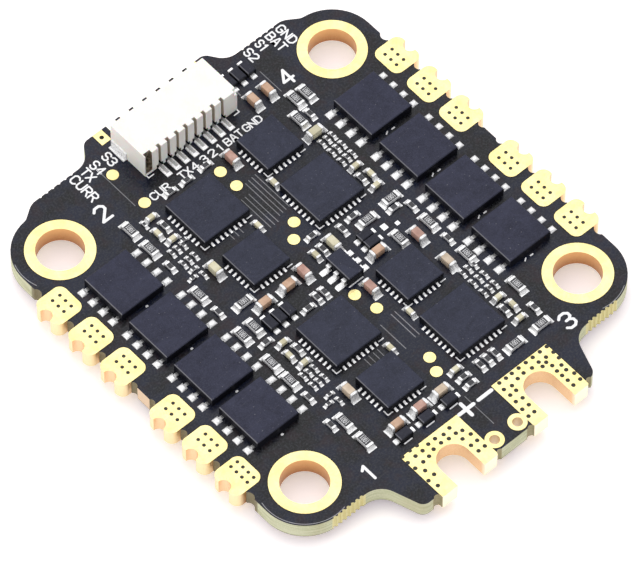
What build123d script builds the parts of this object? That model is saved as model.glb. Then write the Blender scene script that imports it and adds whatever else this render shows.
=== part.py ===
from build123d import *
import os

# Four-in-one motor speed controller: a bare circuit board with its soldered parts.
# Frame: origin at the centre of the mounting hole pattern, on the underside of the laminate.
# +Z is the component side, +Y the signal connector edge, -Y the battery edge. Millimetres.

os.makedirs("parts", exist_ok=True)

# ---- driving dimensions ----
HOLE_PITCH = 30.5          # square mounting pattern
HOLE_R = 2.1               # plated wall of a mounting hole
RING_R = 3.02              # gold ring round a mounting hole
LAMINATE_T = 1.6
MASK_T = 0.04              # solder mask skin
COPPER_T = 0.06            # plated copper standing on the laminate
MASK_GAP = 0.05            # clearance from a pad to the mask round it
LOBE_R = 4.15              # round corner of the board about a mounting hole
SIDE_X = 19.4              # long edges of the board
REAR_Y = 22.12             # edge in front of the connector
FRONT_Y = -23.85           # outer end of the battery pads
FRONT_STEP_Y = -23.6       # laminate between and beside the battery pads
SHOULDER_Y = 20.35         # straight stretch between the connector and a rear lobe

# motor pads on both long edges
TAB_ROWS = (-11.13, -7.1, -3.08, 3.08, 7.1, 11.13)
TAB_INNER_X = 17.42
TAB_OUTER_X = 20.45
TAB_HEIGHT = 3.14
TAB_CORNER_R = 0.75
TAB_CASTELLATION_R = 0.62
VIA_R = 0.16
VIA_PLUG_R = 0.145
TAB_VIA_PITCH = (0.8, 0.72)
TAB_VIA_INSET = 1.2        # from the tab's inner edge to the middle of its vias
CORNER_TAB_VIA_PITCH = (0.7, 0.67)     # the front left tab has two rows of four
CORNER_TAB_VIA_INSET = 0.98

# relief notches routed beside the tabs: distance from the centre line, row, radius
TAB_NOTCHES = ((19.65, 9.115, 0.45), (19.65, 5.09, 0.45), (19.62, 1.11, 0.42),
               (19.72, 13.28, 0.58))

# plated battery pads, "left" is positive
BATTERY_TOP_Y = (-18.75, -18.6)
BATTERY_X = ((-7.85, -1.65), (2.35, 8.5))
SLOT_CENTRE = ((-4.7, -21.8), (5.4, -21.4))
SLOT_R = 1.5
SENSE_RING = ((-0.95, -22.6), (1.6, -22.6))
SENSE_RING_R = 0.83
SENSE_HOLE_R = 0.45
FRONT_NOTCHES = ((-8.15, -23.6), (-1.38, -23.8), (2.08, -23.8), (8.8, -23.6))
FRONT_NOTCH_R = 0.33
BATTERY_CORNER_R = 0.2
BATTERY_VIA_R = 0.19
BATTERY_PLUG_R = 0.175

# connector, 8 ways
WAYS = 8
PIN_PITCH = 1.0
HOUSING_WIDTH = 10.3
HOUSING_BACK_Y = 16.0
HOUSING_MOUTH_Y = 20.42
HOUSING_HEIGHT = 2.9
MOUTH_DEPTH = 3.2
MOUTH_SIZE = (9.0, 1.85)   # width and height
MOUTH_FLOOR = 0.5          # thickness of the housing under its mouth
LEG_SLOT = (0.3, 0.35)     # width and depth of the notch above each leg
LEG_OPENING = (0.7, 1.2, 0.45)         # width, depth and height of the opening a leg comes out of
CORNER_RECESS = (0.7, 0.35)            # width and depth, by the left end of the back
LEG_END_Y = 14.7
LEG_WIDTH = 0.24
LEG_LAND_WIDTH = 0.6

# wire pads along the rear edge
SIGNAL_PITCH = 1.5
SIGNAL_PAD = (1.0, 1.3)
SIGNAL_HOLE_R = 0.2

# packages: length along X, length along Y, height
MOSFET_BODY = (4.55, 4.75, 0.95)
MOSFET_LEAD_PITCH = 1.27
MOSFET_FOOT_WIDTH = {-1: 0.68, 1: 0.58}    # tinned land under a lead, on the -X and +X side
MOSFET_FOOT_T = 0.08
MOSFET_LEAD = (0.42, 0.24) # width and height
MOSFET_REACH = (0.95, 1.18)            # leads towards the board's edge, and inwards
MOSFET_BOTTOM_REACH = 0.7
MCU_BODY = (5.0, 5.0, 0.95)
DRIVER_BODY = (4.0, 4.0, 0.95)
MCU_PINS = 8               # on each side
DRIVER_PINS = 6
PIN_PITCH_QFN = 0.5
PIN_SIZE_QFN = (0.25, 0.36, 0.07)     # width, reach, height
LAND_T = 0.06              # tinned solder land under a chip part
AMPLIFIER_BODY = (1.6, 2.9, 1.05)
DIODE_BODY = (1.3, 0.85, 0.6)

TOP = LAMINATE_T + MASK_T
BOTTOM = -MASK_T

# ---- places of the parts on the component side: x, y ----
MCU_PLACES = {1: (-3.7, -6.6), 2: (-3.7, 9.78), 3: (4.7, -12.5), 4: (4.83, 4.97)}
DRIVER_PLACES = {1: (-3.77, -12.93), 2: (-3.93, 3.4), 3: (4.57, -6.2), 4: (4.6, 11.25)}
MOSFET_LEFT_X = -13.78
MOSFET_LEFT_ROWS = (-7.98, -2.38, 3.23, 8.84)
MOSFET_RIGHT_X = 13.68
MOSFET_RIGHT_ROWS = (-8.72, -3.0, 2.7, 8.42)
AMPLIFIER_PLACE = (1.02, -2.1)

# 1.6 x 0.8 mm capacitors: x, y, turn
CAPACITORS = (
    (6.61, 15.59, 90), (8.21, 15.59, 90), (1.33, 12.44, 90), (-6.25, -0.24, 0),
    (-3.6, -0.24, 0), (-1.79, -0.11, 90), (1.96, 0.41, 90), (4.18, -2.71, 0),
    (7.78, -3.7, 90), (7.85, -7.3, 90), (1.33, -4.96, 90), (-7.09, 5.01, 90),
    (-6.85, -11.3, 90), (-6.09, -16.36, 0), (-3.57, -16.36, 0), (-1.22, -16.36, 0),
    (8.28, 9.7, 0))
# 1.6 x 0.8 mm resistors with a printed value
RESISTORS = (
    (-9.72, 12.7, 90), (-9.7, 10.2, 90), (-9.68, 4.05, 90), (-9.68, -1.35, 90),
    (-8.38, -1.35, 90), (-7.45, 1.02, 0), (-9.68, -4.95, 90), (-9.68, -7.25, 90),
    (-9.05, -13.2, 90), (-9.05, -15.65, 90), (9.42, 13.4, 90), (10.55, 13.25, 90),
    (8.25, 11.65, 90), (5.72, 0.28, 0), (8.6, 0.55, 0), (6.48, -2.88, 90),
    (9.4, -3.3, 90), (9.58, -7.8, 90), (10.6, -12.8, 90), (6.5, -17.0, 0),
    (9.45, -17.0, 0))
# 1.0 x 0.5 mm capacitors
SMALL_CAPACITORS = (
    (-1.47, 5.93, 90), (-1.4, -10.42, 90), (2.4, 8.28, 90), (2.2, -8.86, 90),
    (1.15, -15.55, 0), (-7.6, 12.5, 0), (-7.65, 9.7, 0), (-8.22, 10.95, 90),
    (-7.65, -4.1, 0), (-8.1, -5.38, 90), (-7.65, -6.72, 0), (8.6, 4.97, 0),
    (9.05, 3.52, 90), (8.6, 2.36, 0), (8.6, -12.68, 0), (9.02, -14.0, 90),
    (8.55, -15.38, 0), (0.15, 0.55, 90))
# 1.0 x 0.5 mm resistors
SMALL_RESISTORS = (
    (3.55, 1.0, 90), (5.05, 1.4, 0), (1.22, 2.2, 0), (1.02, 0.62, 90),
    (8.2, -0.28, 0), (9.45, -1.1, 90), (9.5, -5.55, 90), (8.18, 3.75, 90),
    (9.35, 11.5, 90), (8.18, -13.9, 90), (1.2, -16.5, 0), (1.2, -17.38, 0),
    (3.02, -16.55, 90), (3.86, -16.55, 90), (4.72, -16.55, 90), (10.17, -15.4, 90),
    (-4.66, 13.4, 0), (-2.85, 13.37, 0), (-0.72, 13.42, 0), (-7.25, 11.15, 90),
    (-8.65, -3.12, 0), (-9.62, -9.45, 90), (-9.6, 7.8, 90), (-9.6, 1.75, 90),
    (-2.55, -2.65, 90), (-1.75, -2.65, 90), (-3.8, -2.95, 0), (-10.05, -12.65, 90),
    (-7.1, -5.35, 90))
# 0.6 x 0.3 mm parts stand in blocks of columns and rows
TINY_BLOCKS = (
    ((8.1, 8.73, 9.33), (8.6, 7.4, 6.13)), ((8.05, 8.73, 9.36), (-8.9, -10.2, -11.48)),
    ((-8.6, -7.97, -7.33), (8.72, 7.27)), ((-8.57, -7.97, -7.33), (-7.62, -8.85)))
TINY_SINGLES = (
    (-8.93, 5.7, 0), (-8.02, 5.36, 90), (-8.3, 6.33, 0), (-8.15, -10.38, 0),
    (-8.8, -11.0, 0), (-7.93, -11.35, 90), (-8.42, 12.4, 90), (-7.0, 9.05, 0))
DIODES = (
    (-6.25, -17.4, 0), (-3.78, -17.4, 0), (-1.24, -17.4, 0), (6.35, 18.42, 90),
    (7.37, 18.42, 90), (8.42, 18.42, 90), (-7.2, -2.0, 90), (-6.2, -2.0, 90),
    (-5.2, -2.0, 90), (4.48, -0.78, 0), (4.48, -1.68, 0))
TEST_POINTS = (
    (-7.05, 18.0), (-6.9, 14.1), (-0.12, 12.2), (-0.05, 10.25), (1.1, 4.3),
    (-0.08, 3.02), (0.0, -4.45), (0.48, -6.65), (0.48, -13.15), (-0.05, -14.55))
TEST_POINT_R = 0.53

# via holes of the battery pads, each as distances from the pad's top left corner
POSITIVE_VIAS = (
    (0.15, 0.03), (1.0, 0.0), (1.77, 0.02), (0.1, 0.75), (1.0, 0.7), (1.78, 0.7),
    (2.55, 0.55), (3.32, 0.53), (4.12, 0.7), (4.9, 0.55), (0.2, 1.55), (1.1, 1.53),
    (1.82, 1.45), (2.55, 1.2), (3.42, 1.15), (4.17, 1.28), (4.95, 1.28), (5.53, 1.43),
    (0.65, 2.25), (4.98, 2.05), (5.8, 2.15), (0.2, 3.15), (0.95, 3.0), (5.08, 2.97),
    (5.78, 2.95), (0.45, 4.0), (5.18, 3.77), (5.88, 3.77))
NEGATIVE_VIAS = (
    (0.7, 0.23), (1.43, 0.25), (2.1, 0.23), (2.87, 0.23), (3.67, 0.23), (4.45, 0.23),
    (5.25, 0.23), (6.03, 0.23), (0.55, 0.95), (1.3, 1.12), (2.12, 0.93), (2.85, 0.85),
    (3.7, 0.95), (4.5, 0.9), (5.28, 0.95), (6.07, 1.0), (0.57, 1.7), (1.25, 1.68),
    (4.45, 1.43), (4.95, 1.33), (5.1, 1.9), (6.03, 1.7), (0.48, 2.47), (1.15, 2.57),
    (5.03, 2.55), (5.7, 2.37), (5.68, 2.97), (0.37, 3.37), (1.07, 3.4), (5.05, 3.15),
    (5.08, 3.8), (5.95, 3.65), (0.3, 4.2), (0.95, 4.2), (5.1, 4.45), (5.92, 4.4))

# parts of the underside
BOTTOM_MOSFET_X = (7.2, 13.7)
BOTTOM_MOSFET_ROWS = (-8.4, -2.8, 2.8, 8.4)
SHUNT = (6.3, 3.1, 0.6)
SHUNT_X = 5.0
SHUNT_Y = -15.4


# ---- shared shapes ----
def block(x, y, z, size):
    """Box standing on height z."""
    return Pos(x, y, z) * Box(*size, align=(Align.CENTER, Align.CENTER, Align.MIN))


def sheet(sketch, z, thickness):
    """Flat solid of a sketch, from height z upwards."""
    return Pos(0, 0, z) * extrude(sketch, thickness)


def discs(places, radius):
    return [Pos(x, y) * Circle(radius) for x, y in places]


def save(name, solids):
    shape = Compound(children=solids) if isinstance(solids, list) else solids
    export_step(shape, f"parts/{name}.step")


# ---- outline of the board ----
def outline():
    rear_half = [((6.75, REAR_Y), 0.9), ((7.95, SHOULDER_Y), 1.8), ((14.05, SHOULDER_Y), 1.6),
                 ((15.45, 19.4), 0.9), ((SIDE_X, 19.0), LOBE_R)]
    front_half = [((SIDE_X, -19.4), LOBE_R), ((10.92, -19.4), 2.0), ((9.52, -23.45), 0.85)]
    (left_outer, left_inner), (right_inner, right_outer) = BATTERY_X
    front_right = [((right_outer, -23.45), 0), ((right_outer, FRONT_Y), BATTERY_CORNER_R),
                   ((right_inner, FRONT_Y), BATTERY_CORNER_R), ((right_inner, FRONT_STEP_Y), 0)]
    front_left = [((left_inner, FRONT_STEP_Y), 0), ((left_inner, FRONT_Y), BATTERY_CORNER_R),
                  ((left_outer, FRONT_Y), BATTERY_CORNER_R), ((left_outer, -23.45), 0)]
    half = rear_half + front_half
    mirrored = [((-x, y), r) for (x, y), r in reversed(half)]
    corners = half + front_right + front_left + mirrored
    wire = FilletPolyline(*[point for point, _ in corners],
                          radius=[r for _, r in corners], close=True)
    return make_face(wire)


def hole_places():
    half = HOLE_PITCH / 2
    return {1: (-half, -half), 2: (-half, half), 3: (half, -half), 4: (half, half)}


def tab(side, row, inset):
    """Motor tab seen from above; inset shrinks it for the laminate under the plating."""
    width = TAB_OUTER_X - TAB_INNER_X
    middle = side * (TAB_OUTER_X + TAB_INNER_X) / 2
    shape = RectangleRounded(width - 2 * inset, TAB_HEIGHT - 2 * inset, TAB_CORNER_R - inset)
    bite = Pos(side * TAB_OUTER_X, row) * Circle(TAB_CASTELLATION_R + inset)
    return Pos(middle, row) * shape - bite


def slot(which, inset):
    x, y = SLOT_CENTRE[which]
    radius = SLOT_R + inset
    depth = y - FRONT_Y + 1
    return Pos(x, y) * Circle(radius) + Pos(x, y - depth / 2) * Rectangle(2 * radius, depth)


def tab_notches():
    cuts = []
    for x, y, radius in TAB_NOTCHES:
        cuts += discs([(x, y), (-x, y), (x, -y), (-x, -y)], radius)
    return cuts


def edge_scallops():
    """Small half round cuts in the straight edges by the mounting lobes."""
    front = [(side * (12.75 + 0.48 * i), -19.42) for side in (-1, 1) for i in range(7)]
    rear = [(side * (9.6 + 0.68 * i), 20.4) for side in (-1, 1) for i in range(6)]
    return discs(front, 0.17) + discs(rear, 0.14)


def signal_places():
    first = -SIGNAL_PITCH * (WAYS - 1) / 2
    return [(first + SIGNAL_PITCH * i, REAR_Y - SIGNAL_PAD[1] / 2) for i in range(WAYS)]


def board_face():
    face = outline()
    for side in (-1, 1):
        for row in TAB_ROWS:
            face += tab(side, row, COPPER_T)
    bites = [Pos(side * TAB_OUTER_X, row) * Circle(TAB_CASTELLATION_R + COPPER_T)
             for side in (-1, 1) for row in TAB_ROWS]
    cuts = bites + tab_notches() + edge_scallops()
    cuts += discs(FRONT_NOTCHES, FRONT_NOTCH_R)
    cuts += [slot(0, COPPER_T), slot(1, COPPER_T)]
    cuts += discs(SENSE_RING, SENSE_HOLE_R + COPPER_T)
    cuts += discs(hole_places().values(), HOLE_R + COPPER_T)
    cuts += battery_front_skin()
    return face - cuts


def battery_front_skin():
    """Strip taken off the front of the battery tabs, where the plating wraps round."""
    strips = []
    for left, right in BATTERY_X:
        strips.append(Pos((left + right) / 2, FRONT_Y) * Rectangle(right - left, 2 * COPPER_T))
    return strips


# ---- pads ----
def tab_vias(side, row):
    """Vias of a motor tab: two columns of three, or of four on the front left tab."""
    if side < 0 and row == TAB_ROWS[0]:
        inset, (pitch, step), count = CORNER_TAB_VIA_INSET, CORNER_TAB_VIA_PITCH, 4
    else:
        inset, (pitch, step), count = TAB_VIA_INSET, TAB_VIA_PITCH, 3
    middle = side * (TAB_INNER_X + inset)
    places = []
    for dx in (-pitch / 2, pitch / 2):
        places += [(middle + dx, row + step * (i - (count - 1) / 2)) for i in range(count)]
    return places


def motor_pad(side, row, laminate):
    flat = tab(side, row, 0) - tab_notches()
    body = sheet(flat, -COPPER_T, LAMINATE_T + 2 * COPPER_T) - laminate
    drill = sheet(Sketch() + discs(tab_vias(side, row), VIA_R), LAMINATE_T, 1)
    return body - drill


def battery_outline(which):
    left, right = BATTERY_X[which]
    top = BATTERY_TOP_Y[which]
    middle = ((left + right) / 2, (top + FRONT_Y) / 2)
    plate = Pos(*middle) * Rectangle(right - left, top - FRONT_Y)
    front = plate.vertices().sort_by(Axis.Y)[:2]
    plate = fillet(front, BATTERY_CORNER_R)
    ring = discs([SENSE_RING[which]], SENSE_RING_R)
    face = plate + ring
    face -= [slot(which, 0)] + discs([SENSE_RING[which]], SENSE_HOLE_R)
    return face - discs(FRONT_NOTCHES, FRONT_NOTCH_R)


def battery_vias(which):
    corner = (BATTERY_X[which][0], BATTERY_TOP_Y[which])
    table = (POSITIVE_VIAS, NEGATIVE_VIAS)[which]
    return [(corner[0] + dx, corner[1] - dy) for dx, dy in table]


def battery_pad(which, laminate):
    body = sheet(battery_outline(which), -COPPER_T, LAMINATE_T + 2 * COPPER_T) - laminate
    drill = sheet(Sketch() + discs(battery_vias(which), BATTERY_VIA_R), LAMINATE_T, 1)
    return body - drill


def mounting_ring(place):
    height = LAMINATE_T + 2 * COPPER_T
    flange = Circle(RING_R) - Circle(HOLE_R)
    barrel = Circle(HOLE_R + COPPER_T) - Circle(HOLE_R)
    ring = sheet(flange, -COPPER_T, COPPER_T) + sheet(flange, LAMINATE_T, COPPER_T)
    ring += sheet(barrel, -COPPER_T, height)
    return Pos(*place) * ring


def signal_pads():
    pads = []
    for place in signal_places():
        flat = Pos(*place) * Rectangle(*SIGNAL_PAD) - discs([place], SIGNAL_HOLE_R)
        pads.append(sheet(flat, LAMINATE_T, COPPER_T))
    return pads


def test_points():
    return [sheet(disc, LAMINATE_T, COPPER_T) for disc in discs(TEST_POINTS, TEST_POINT_R)]


def via_plugs():
    """Resin plugs in every via of the battery pads and the motor tabs."""
    plugs = discs(battery_vias(0) + battery_vias(1), BATTERY_PLUG_R)
    for side in (-1, 1):
        for row in TAB_ROWS:
            plugs += discs(tab_vias(side, row), VIA_PLUG_R)
    return [sheet(plug, LAMINATE_T, COPPER_T - 0.015) for plug in plugs]


def pad_openings():
    """Openings of the solder mask for every bare pad, with a small gap."""
    cuts = discs(hole_places().values(), RING_R + MASK_GAP)
    cuts += discs(SENSE_RING, SENSE_RING_R + MASK_GAP)
    for side in (-1, 1):
        for row in TAB_ROWS:
            width = TAB_OUTER_X - TAB_INNER_X + 2 * MASK_GAP
            middle = side * (TAB_OUTER_X + TAB_INNER_X) / 2
            cuts.append(Pos(middle, row) * RectangleRounded(
                width, TAB_HEIGHT + 2 * MASK_GAP, TAB_CORNER_R + MASK_GAP))
    for (left, right), top in zip(BATTERY_X, BATTERY_TOP_Y):
        height = top - FRONT_Y + 2
        cuts.append(Pos((left + right) / 2, top + MASK_GAP - height / 2)
                    * Rectangle(right - left + 2 * MASK_GAP, height))
    return cuts


def mask_top(face):
    cuts = pad_openings() + discs(TEST_POINTS, TEST_POINT_R + MASK_GAP)
    for x, y in signal_places():
        cuts.append(Pos(x, y) * Rectangle(SIGNAL_PAD[0] + 2 * MASK_GAP,
                                          SIGNAL_PAD[1] + 2 * MASK_GAP))
    cuts += discs(battery_vias(0) + battery_vias(1), BATTERY_VIA_R)
    return sheet(face - cuts, LAMINATE_T, MASK_T)


def mask_bottom(face):
    return sheet(face - pad_openings(), -MASK_T, MASK_T)


# ---- packages ----
def moulded_body(x, y, size, z=TOP):
    """Moulded package with its upper edges broken."""
    body = block(x, y, z, size)
    return chamfer(body.faces().sort_by(Axis.Z)[-1].edges(), 0.07)


def mosfet_leads(x, y, reaches, flip):
    """Leads of one transistor: a wide tinned foot and a narrower lead into the body."""
    half = MOSFET_BODY[0] / 2
    outward = -1 if x < 0 else 1
    leads = []
    for i in range(4):
        row = y + (i - 1.5) * MOSFET_LEAD_PITCH
        for side, reach in zip((outward, -outward), reaches):
            foot = block(x + side * (half + reach / 2), row, 0,
                         (reach, MOSFET_FOOT_WIDTH[side], MOSFET_FOOT_T))
            lead = block(x + side * (half + reach * 0.4), row, 0, (reach * 0.8, *MOSFET_LEAD))
            leads.append(foot + lead)
    if flip:
        turned = [Rot(180, 0, 0) * lead for lead in leads]
        return [Pos(0, 2 * y, BOTTOM) * lead for lead in turned]
    return [Pos(0, 0, TOP) * lead for lead in leads]


def qfn_pins(x, y, size, per_side):
    """Tinned pads round the four sides of a leadless package."""
    width, reach, height = PIN_SIZE_QFN
    pins = []
    for i in range(per_side):
        along = (i - (per_side - 1) / 2) * PIN_PITCH_QFN
        for side in (-1, 1):
            beside = side * (size / 2 + reach / 2)
            pins.append(block(x + beside, y + along, TOP, (reach, width, height)))
            pins.append(block(x + along, y + beside, TOP, (width, reach, height)))
    return pins


def amplifier_leads():
    x, y = AMPLIFIER_PLACE
    half = AMPLIFIER_BODY[0] / 2
    leads = []
    for side in (-1, 1):
        for i in (-1, 0, 1):
            row = y + 0.95 * i
            foot = block(x + side * (half + 0.42), row, TOP, (0.46, 0.4, 0.13))
            riser = block(x + side * (half + 0.25), row, TOP, (0.12, 0.4, 0.6))
            top = block(x + side * (half + 0.13), row, TOP + 0.48, (0.26, 0.4, 0.12))
            pad = block(x + side * (half + 0.57), row, TOP, (0.6, 0.46, 0.06))
            leads.append(foot + riser + top + pad)
    return leads


def chip_part(x, y, turn, length, width, height, end, gap):
    """Two-terminal chip: its body and its two tinned ends on their solder lands."""
    body = block(0, 0, gap, (length - 2 * end, width * 0.94, height * 0.96 - gap))
    ends = []
    for side in (-1, 1):
        cap = block(side * (length - end) / 2, 0, 0, (end, width, height))
        land = block(side * length / 2, 0, 0, (2 * end, width * 1.08, LAND_T))
        ends.append(cap + land)
    place = Pos(x, y, TOP) * Rot(0, 0, turn)
    return place * body, [place * piece for piece in ends]


def chip_group(places, length, width, height, end):
    bodies = []
    ends = []
    for x, y, turn in places:
        body, caps = chip_part(x, y, turn, length, width, height, end, 0.03)
        bodies.append(body)
        ends += caps
    return bodies, ends


def diode(x, y, turn):
    place = Pos(x, y, TOP) * Rot(0, 0, turn)
    body = place * moulded_body(0, 0, DIODE_BODY, 0)
    ends = []
    for side in (-1, 1):
        tab_x = side * (DIODE_BODY[0] / 2 + 0.2)
        ends.append(place * block(tab_x, 0, 0, (0.4, 0.45, 0.14)))
    return body, ends


# ---- connector ----
def pin_columns():
    return [(i - (WAYS - 1) / 2) * PIN_PITCH for i in range(WAYS)]


def connector_housing():
    """Shell with a mouth for the plug, and a back notched and open at the foot over every leg."""
    depth = HOUSING_MOUTH_Y - HOUSING_BACK_Y
    middle = (HOUSING_MOUTH_Y + HOUSING_BACK_Y) / 2
    shell = block(0, middle, TOP, (HOUSING_WIDTH, depth, HOUSING_HEIGHT))
    mouth_width, mouth_height = MOUTH_SIZE
    shell -= block(0, HOUSING_MOUTH_Y - MOUTH_DEPTH / 2, TOP + MOUTH_FLOOR,
                   (mouth_width, MOUTH_DEPTH, mouth_height))
    for side in (-1, 1):
        shell -= block(side * 3.4, HOUSING_MOUTH_Y - 0.7, TOP + 2.3, (1.1, 1.4, 0.35))
    slot_width, slot_depth = LEG_SLOT
    opening_width, opening_depth, opening_height = LEG_OPENING
    for column in pin_columns():
        shell -= block(column, HOUSING_BACK_Y + opening_depth / 2, TOP,
                       (opening_width, opening_depth, opening_height))
        cuts = [(HOUSING_BACK_Y + slot_depth / 2, 0, slot_depth, HOUSING_HEIGHT),
                (HOUSING_BACK_Y + 1.0, 0, 0.3, 1.65),
                (HOUSING_BACK_Y + 1.1, 1.15, 1.0, 0.5)]
        for y, z, length, height in cuts:
            shell -= block(column, y, TOP + z, (slot_width, length, height))
    half = HOUSING_WIDTH / 2
    recess_width, recess_depth = CORNER_RECESS
    shell -= block(-half + 0.45, HOUSING_BACK_Y + recess_depth / 2, TOP + 0.3,
                   (recess_width, recess_depth, HOUSING_HEIGHT))
    shell -= block(-half + 0.45, HOUSING_BACK_Y + 0.5, TOP + 0.3, (recess_width - 0.2, 1.0, 1.9))
    shell -= block(half - 0.15, HOUSING_BACK_Y + 0.15, TOP + 2.3, (0.3, 0.3, HOUSING_HEIGHT))
    return shell


def connector_contacts():
    """Contact: foot on its solder land, riser behind the wall and a square pin in the mouth."""
    contacts = []
    foot_start = LEG_END_Y + 0.3
    riser_y = HOUSING_BACK_Y + 1.0
    land_end = HOUSING_BACK_Y - 0.05
    for column in pin_columns():
        land = block(column, (LEG_END_Y + land_end) / 2, TOP,
                     (LEG_LAND_WIDTH, land_end - LEG_END_Y, LAND_T))
        foot = block(column, (foot_start + riser_y) / 2, TOP,
                     (LEG_WIDTH, riser_y - foot_start, 0.2))
        riser = block(column, riser_y, TOP, (LEG_WIDTH, 0.2, 1.5))
        pin = block(column, riser_y + 1.4, TOP + 1.25, (LEG_WIDTH, 3.0, 0.25))
        contacts.append(land + foot + riser + pin)
    return contacts


def connector_solder_tabs():
    tabs = []
    for side in (-1, 1):
        edge = side * HOUSING_WIDTH / 2
        plate = block(edge + side * 0.06, 19.3, TOP, (0.12, 1.9, 0.9))
        foot = block(edge + side * 0.2, 19.3, TOP, (0.4, 1.9, 0.14))
        tabs.append(plate + foot)
    return tabs


# ---- build and export every node ----
board = board_face()
laminate = sheet(board, 0, LAMINATE_T)
save("circuit_board", laminate)
save("solder_mask_top", mask_top(board))
save("solder_mask_bottom", mask_bottom(board))

for number, place in hole_places().items():
    save(f"mounting_hole_plating_{number}", mounting_ring(place))

for side, motors in ((-1, (1, 2)), (1, (3, 4))):
    for index, row in enumerate(TAB_ROWS):
        phase = "abc"[index % 3]
        save(f"motor_{motors[index // 3]}_pad_{phase}", motor_pad(side, row, laminate))

save("battery_pad_positive", battery_pad(0, laminate))
save("battery_pad_negative", battery_pad(1, laminate))
save("signal_pads", signal_pads())
save("test_points", test_points())
save("via_plugs", via_plugs())

save("connector_housing", connector_housing())
save("connector_contacts", connector_contacts())
save("connector_solder_tabs", connector_solder_tabs())

top_leads = []
for name, x, rows in (("left", MOSFET_LEFT_X, MOSFET_LEFT_ROWS),
                      ("right", MOSFET_RIGHT_X, MOSFET_RIGHT_ROWS)):
    for index, row in enumerate(rows):
        save(f"mosfet_{name}_{index + 1}", moulded_body(x, row, MOSFET_BODY))
        top_leads += mosfet_leads(x, row, MOSFET_REACH, False)
save("mosfet_leads_top", top_leads)

bottom_leads = []
for name, side in (("left", -1), ("right", 1)):
    bodies = []
    for distance in BOTTOM_MOSFET_X:
        for row in BOTTOM_MOSFET_ROWS:
            x = side * distance
            body = Rot(180, 0, 0) * moulded_body(x, -row, MOSFET_BODY, -BOTTOM)
            bodies.append(body)
            bottom_leads += mosfet_leads(x, row, (MOSFET_BOTTOM_REACH,) * 2, True)
    save(f"mosfets_bottom_{name}", bodies)
save("mosfet_leads_bottom", bottom_leads)

pins = []
for number, (x, y) in MCU_PLACES.items():
    save(f"microcontroller_{number}", moulded_body(x, y, MCU_BODY))
    pins += qfn_pins(x, y, MCU_BODY[0], MCU_PINS)
save("microcontroller_pins", pins)

pins = []
for number, (x, y) in DRIVER_PLACES.items():
    save(f"gate_driver_{number}", moulded_body(x, y, DRIVER_BODY))
    pins += qfn_pins(x, y, DRIVER_BODY[0], DRIVER_PINS)
save("gate_driver_pins", pins)

save("current_sense_amplifier", moulded_body(*AMPLIFIER_PLACE, AMPLIFIER_BODY, TOP + 0.05))
diodes = [diode(*place) for place in DIODES]
save("diode_bodies", [body for body, _ in diodes])
save("small_package_leads", amplifier_leads() + [end for _, ends in diodes for end in ends])

bodies, ends = chip_group(CAPACITORS, 1.6, 0.8, 0.85, 0.36)
save("capacitor_bodies", bodies)
save("capacitor_terminals", ends)
bodies, ends = chip_group(RESISTORS, 1.6, 0.8, 0.45, 0.3)
save("resistor_bodies", bodies)
save("resistor_terminals", ends)

cap_bodies, cap_ends = chip_group(SMALL_CAPACITORS, 1.0, 0.5, 0.5, 0.27)
save("small_capacitor_bodies", cap_bodies)
res_bodies, res_ends = chip_group(SMALL_RESISTORS, 1.0, 0.5, 0.35, 0.25)
tiny_places = [(x, y, 90) for columns, rows in TINY_BLOCKS for x in columns for y in rows]
tiny_bodies, tiny_ends = chip_group(tiny_places + list(TINY_SINGLES), 0.62, 0.32, 0.28, 0.17)
save("small_resistor_bodies", res_bodies + tiny_bodies)
save("small_chip_terminals", cap_ends + res_ends + tiny_ends)

shunts = [Rot(180, 0, 0) * moulded_body(side * SHUNT_X, -SHUNT_Y, SHUNT, -BOTTOM)
          for side in (-1, 1)]
save("shunt_resistors", shunts)
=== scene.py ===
import math

import bmesh
import bpy
from mathutils import Matrix, Vector


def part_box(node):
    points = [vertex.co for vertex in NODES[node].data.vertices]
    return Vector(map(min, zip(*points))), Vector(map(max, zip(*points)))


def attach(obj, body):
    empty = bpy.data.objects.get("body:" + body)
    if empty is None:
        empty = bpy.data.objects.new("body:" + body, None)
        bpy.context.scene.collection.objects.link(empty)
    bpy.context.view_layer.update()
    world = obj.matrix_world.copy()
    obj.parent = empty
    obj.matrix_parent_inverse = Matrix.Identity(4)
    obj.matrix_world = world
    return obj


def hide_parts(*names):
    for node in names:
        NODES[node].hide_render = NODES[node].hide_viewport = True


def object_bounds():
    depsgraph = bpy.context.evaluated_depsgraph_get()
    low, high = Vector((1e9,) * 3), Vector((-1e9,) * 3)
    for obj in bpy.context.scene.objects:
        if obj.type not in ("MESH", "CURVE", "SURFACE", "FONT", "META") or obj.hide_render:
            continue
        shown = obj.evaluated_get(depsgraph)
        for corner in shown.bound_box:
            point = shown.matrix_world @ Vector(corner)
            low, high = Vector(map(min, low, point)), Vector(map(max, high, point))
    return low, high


# A bare four-in-one speed controller board on a pale floor.
# Every length is in millimetres in the part's own frame, and is turned into metres when a mesh is made.

MM = 0.001
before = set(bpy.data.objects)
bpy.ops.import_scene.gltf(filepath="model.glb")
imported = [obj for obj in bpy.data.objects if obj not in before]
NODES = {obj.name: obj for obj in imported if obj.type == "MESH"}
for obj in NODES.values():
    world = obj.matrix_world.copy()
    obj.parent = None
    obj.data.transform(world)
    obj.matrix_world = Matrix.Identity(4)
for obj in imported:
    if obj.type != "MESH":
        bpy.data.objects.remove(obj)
cad_box = [list(corner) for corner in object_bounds()]

TOP = max(corner[2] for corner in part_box("solder_mask_top")) / MM
BOTTOM = min(corner[2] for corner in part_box("solder_mask_bottom")) / MM

# ---- camera and light ----
CAMERA_TARGET = (-1.30, -1.60, 1.6)
CAMERA_DISTANCE = 608.6
CAMERA_HEADING = 47.93         # degrees from +X, the way the camera looks over the board
CAMERA_ELEVATION = 56.89
CAMERA_ROLL = 0.12
LENS = 412.2                   # on a 36 mm sensor


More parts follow.
